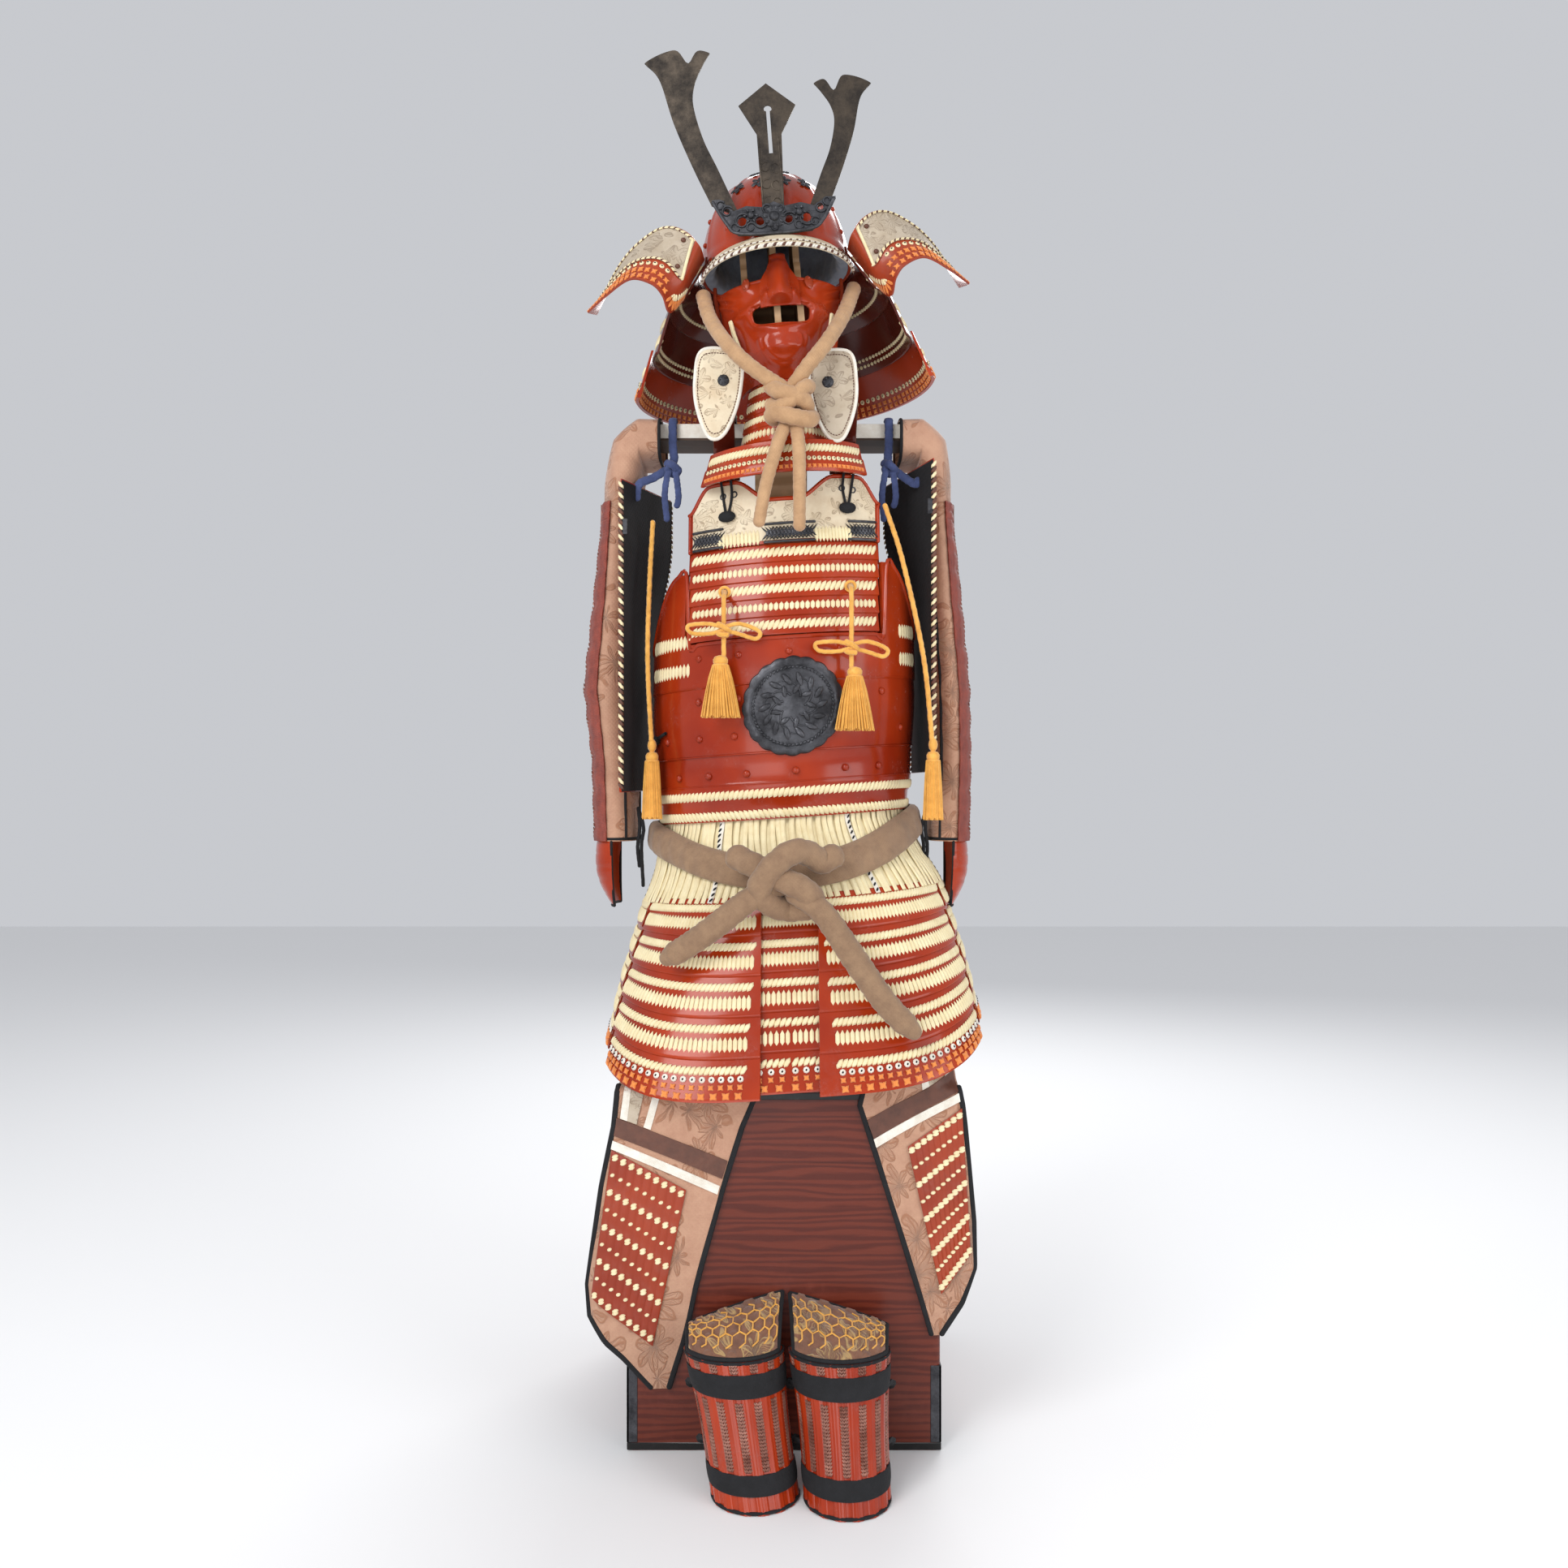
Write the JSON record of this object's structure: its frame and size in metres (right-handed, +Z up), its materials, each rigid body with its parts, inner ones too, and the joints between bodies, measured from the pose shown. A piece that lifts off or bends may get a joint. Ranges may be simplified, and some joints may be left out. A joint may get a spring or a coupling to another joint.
{
  "type": "samurai armour on chest stand",
  "caption": "Suit of lacquered and laced Japanese armour with helmet, mask, sleeves, skirt and leg guards, dressed on a post and board over a box chest.",
  "frame": {"origin": "centre of the chest's underside, on the floor", "axes": "+Z up, -Y toward the front of the armour, -X at the viewer's left"},
  "size_m": [0.5248, 0.5848, 1.7228],
  "materials": {
    "red_lacquer": "deep glossy urushi red over metal lames",
    "dark_lacquer": "dark red-brown lacquer, satin",
    "printed_leather": "cream smoked leather with a printed leaf pattern",
    "bronze": "weathered gilt bronze",
    "iron": "dark patinated metal with worn edges",
    "grey_cloth": "grey-blue wrinkled lining",
    "tan_cloth": "padded tan silk cord",
    "cream_lacing": "cream braid",
    "brocade": "pinkish-tan leafy brocade",
    "gold_brocade": "gold hexagons on brown",
    "gold_cord": "golden yellow silk cord",
    "chest_lacquer": "brown-red lacquered wood, satin",
    "plain_wood": "plain pale wood"
  },
  "bodies": {
    "root": {"chest_body": "chest_lacquer", "chest_lid": "chest_lacquer", "stand_post": "plain_wood", "shoulder_board": "plain_wood", "head_rest": "plain_wood", "cuirass_front": "red_lacquer", "cuirass_back": "red_lacquer", "chest_lames": "red_lacquer", "back_lames": "red_lacquer", "helmet_bowl": "red_lacquer", "mask": "red_lacquer", "mask_nose": "red_lacquer", "throat_guard": "red_lacquer", "tasset_front": "red_lacquer", "tasset_front_left": "red_lacquer", "tasset_front_right": "red_lacquer", "tasset_side_left": "red_lacquer", "tasset_side_right": "red_lacquer", "tasset_back_left": "red_lacquer", "tasset_back_right": "red_lacquer", "turn_back_left": "red_lacquer", "turn_back_right": "red_lacquer", "shoulder_guard_left": "red_lacquer", "shoulder_guard_right": "red_lacquer", "arm_plates_left": "red_lacquer", "arm_plates_right": "red_lacquer", "hand_guard_left": "red_lacquer", "hand_guard_right": "red_lacquer", "thigh_plates_left": "red_lacquer", "thigh_plates_right": "red_lacquer", "shin_guard_left": "red_lacquer", "shin_guard_right": "red_lacquer", "shoulder_strap_left": "dark_lacquer", "shoulder_strap_right": "dark_lacquer", "neck_guard_1": "dark_lacquer", "neck_guard_2": "dark_lacquer", "neck_guard_3": "dark_lacquer", "medallion": "iron", "crest_base": "iron", "crest_horn_left": "bronze", "crest_horn_right": "bronze", "crest_blade": "bronze", "waist_lacing": "cream_lacing", "belt": "tan_cloth", "belt_knot": "tan_cloth", "helmet_cord": "tan_cloth", "helmet_lining": "grey_cloth", "helmet_visor": "printed_leather", "leaf_guard_left": "printed_leather", "leaf_guard_right": "printed_leather", "front_tassel_left": "gold_cord", "front_tassel_right": "gold_cord", "side_tassel_left": "gold_cord", "side_tassel_right": "gold_cord", "sleeve_left": "brocade", "sleeve_right": "brocade", "thigh_guard_left": "brocade", "thigh_guard_right": "brocade", "knee_flap_left": "gold_brocade", "knee_flap_right": "gold_brocade"}
  },
  "joints": []
}
